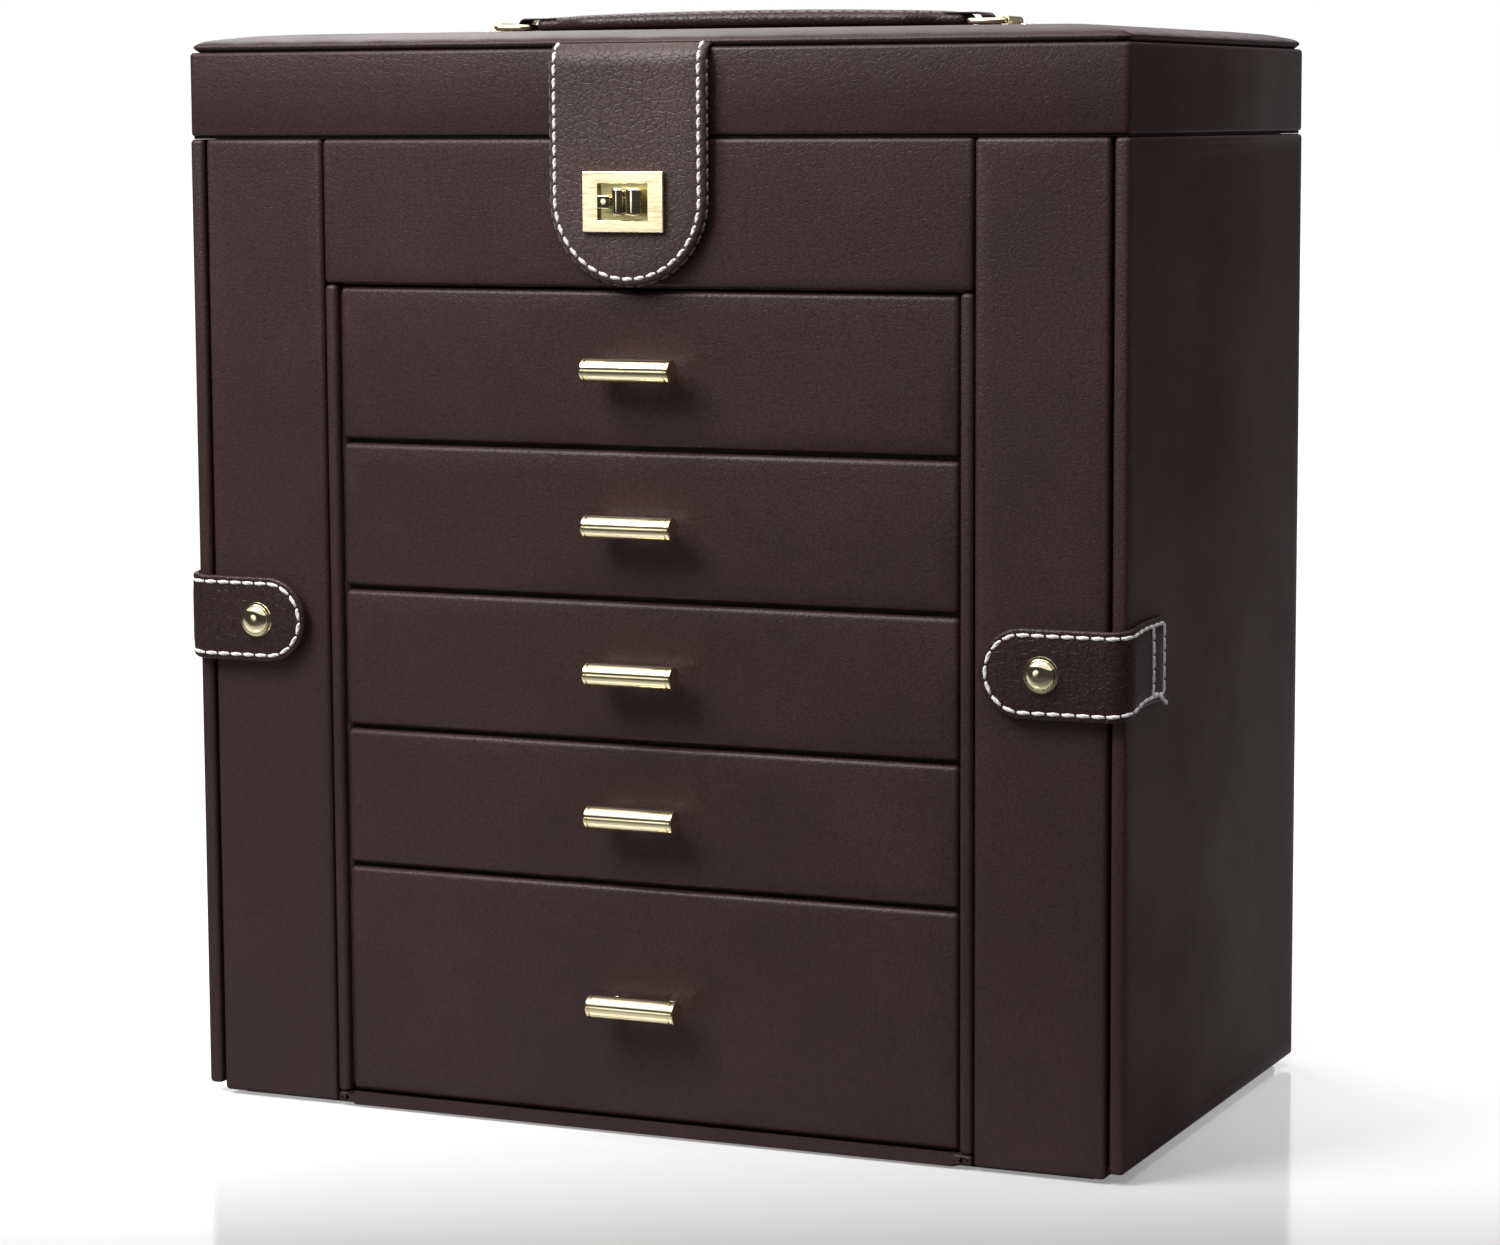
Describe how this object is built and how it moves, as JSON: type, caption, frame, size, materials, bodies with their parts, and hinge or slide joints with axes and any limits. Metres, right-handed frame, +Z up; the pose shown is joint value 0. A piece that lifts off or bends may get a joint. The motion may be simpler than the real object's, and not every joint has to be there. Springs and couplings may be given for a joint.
{
  "type": "jewelry organizer",
  "caption": "Upright leatherette jewelry organizer: hinged lid with handle and turn-clasp flap, stacked drawers, and strapped side doors over hanging bays.",
  "frame": {"origin": "middle of the case's base, on the surface that the organizer stands on", "axes": "+X to the right seen from the front, +Y from front to back, +Z up"},
  "size_m": [0.3044, 0.1832, 0.3338],
  "materials": {
    "brown_leatherette": "smooth fine-grained dark brown",
    "beige_suede": "short-napped suede cloth over board or foam",
    "base_felt": "pressed felt",
    "gold_hardware": "polished pale gold plate",
    "hinge_brass": "satin brass",
    "mirror_glass": "silvered glass"
  },
  "bodies": {
    "case": {"felt_base": "base_felt", "base_board": "brown_leatherette", "back_panel": "brown_leatherette", "left_stile": "brown_leatherette", "right_stile": "brown_leatherette", "left_carcass_side": "brown_leatherette", "right_carcass_side": "brown_leatherette", "drawer_shelves": "beige_suede", "bay_tops": "brown_leatherette", "tray_front_panel": "brown_leatherette", "tray_floor": "beige_suede", "tray_dividers": "beige_suede", "ring_rolls": "beige_suede", "clasp_keeper": "gold_hardware", "strap_catches": "gold_hardware", "case_hinge_leaves": "hinge_brass", "hinge_pins": "hinge_brass"},
    "lid": {"lid_frame": "brown_leatherette", "lid_top_board": "beige_suede", "lid_pad": "brown_leatherette", "mirror": "mirror_glass", "mirror_frame": "beige_suede", "lid_hinge_leaves": "hinge_brass", "handle_brackets": "gold_hardware"},
    "clasp_flap": {"clasp_flap": "brown_leatherette", "clasp_plate": "gold_hardware"},
    "clasp_knob": {"clasp_knob": "gold_hardware"},
    "clasp_bolt": {"clasp_bolt": "gold_hardware"},
    "handle": {"handle_strap": "brown_leatherette"},
    "left_handle_ring": {"left_handle_ring": "gold_hardware"},
    "right_handle_ring": {"right_handle_ring": "gold_hardware"},
    "drawer_1": {"drawer_1_front": "brown_leatherette", "drawer_1_box": "beige_suede", "drawer_1_pull": "gold_hardware"},
    "drawer_2": {"drawer_2_front": "brown_leatherette", "drawer_2_box": "beige_suede", "drawer_2_pull": "gold_hardware"},
    "drawer_3": {"drawer_3_front": "brown_leatherette", "drawer_3_box": "beige_suede", "drawer_3_pull": "gold_hardware"},
    "drawer_4": {"drawer_4_front": "brown_leatherette", "drawer_4_box": "beige_suede", "drawer_4_pull": "gold_hardware"},
    "drawer_5": {"drawer_5_front": "brown_leatherette", "drawer_5_box": "beige_suede", "drawer_5_pull": "gold_hardware"},
    "left_door": {"left_door_panel": "brown_leatherette", "left_door_hooks": "gold_hardware", "left_door_pocket": "beige_suede", "left_door_hinge_leaves": "hinge_brass", "left_strap_anchor": "brown_leatherette"},
    "left_strap": {"left_strap_tongue": "brown_leatherette", "left_strap_snap": "gold_hardware"},
    "right_door": {"right_door_panel": "brown_leatherette", "right_door_hooks": "gold_hardware", "right_door_pocket": "beige_suede", "right_door_hinge_leaves": "hinge_brass", "right_strap_anchor": "brown_leatherette"},
    "right_strap": {"right_strap_tongue": "brown_leatherette", "right_strap_snap": "gold_hardware"}
  },
  "joints": [
    {"name": "lid_open", "type": "hinge", "parent": "case", "child": "lid", "pos_m": [0, 0.0865, 0.2958], "axis": [-1, 0, 0], "range_deg": [0, 95]},
    {"name": "clasp_flap_lift", "type": "hinge", "parent": "lid", "child": "clasp_flap", "pos_m": [-0.0012, -0.0867, 0.319], "axis": [-1, 0, 0], "range_deg": [0, 150]},
    {"name": "clasp_knob_turn", "type": "hinge", "parent": "clasp_flap", "child": "clasp_knob", "pos_m": [-0.0016, -0.0902, 0.2772], "axis": [0, 1, 0], "range_deg": [0, 90]},
    {"name": "clasp_bolt_slide", "type": "slide", "parent": "clasp_flap", "child": "clasp_bolt", "axis": [0, 1, 0], "range_m": [0, 0.003]},
    {"name": "handle_lift", "type": "slide", "parent": "lid", "child": "handle", "axis": [0, 0, 1], "range_m": [0, 0.0064]},
    {"name": "left_handle_ring_fold", "type": "hinge", "parent": "lid", "child": "left_handle_ring", "pos_m": [-0.0845, 0, 0.3294], "axis": [0, -1, 0], "range_deg": [0, 36]},
    {"name": "right_handle_ring_fold", "type": "hinge", "parent": "lid", "child": "right_handle_ring", "pos_m": [0.0845, 0, 0.3294], "axis": [0, 1, 0], "range_deg": [0, 36]},
    {"name": "drawer_1_slide", "type": "slide", "parent": "case", "child": "drawer_1", "axis": [0, -1, 0], "range_m": [0, 0.12]},
    {"name": "drawer_2_slide", "type": "slide", "parent": "case", "child": "drawer_2", "axis": [0, -1, 0], "range_m": [0, 0.12]},
    {"name": "drawer_3_slide", "type": "slide", "parent": "case", "child": "drawer_3", "axis": [0, -1, 0], "range_m": [0, 0.12]},
    {"name": "drawer_4_slide", "type": "slide", "parent": "case", "child": "drawer_4", "axis": [0, -1, 0], "range_m": [0, 0.12]},
    {"name": "drawer_5_slide", "type": "slide", "parent": "case", "child": "drawer_5", "axis": [0, -1, 0], "range_m": [0, 0.12]},
    {"name": "left_door_swing", "type": "hinge", "parent": "case", "child": "left_door", "pos_m": [-0.145, 0.0865, 0], "axis": [0, 0, -1], "range_deg": [0, 110]},
    {"name": "left_strap_peel", "type": "hinge", "parent": "left_door", "child": "left_strap", "pos_m": [-0.1511, -0.087, 0.15], "axis": [0, 0, -1], "range_deg": [0, 120]},
    {"name": "right_door_swing", "type": "hinge", "parent": "case", "child": "right_door", "pos_m": [0.145, 0.0865, 0], "axis": [0, 0, 1], "range_deg": [0, 110]},
    {"name": "right_strap_peel", "type": "hinge", "parent": "right_door", "child": "right_strap", "pos_m": [0.1511, -0.087, 0.1456], "axis": [0, 0, 1], "range_deg": [0, 120]}
  ],
  "couplings": [
    {"joint": "clasp_knob_turn", "follows": "clasp_bolt_slide", "rad_per_m": 523.5},
    {"joint": "left_handle_ring_fold", "follows": "handle_lift", "rad_per_m": 97},
    {"joint": "right_handle_ring_fold", "follows": "handle_lift", "rad_per_m": 97}
  ]
}
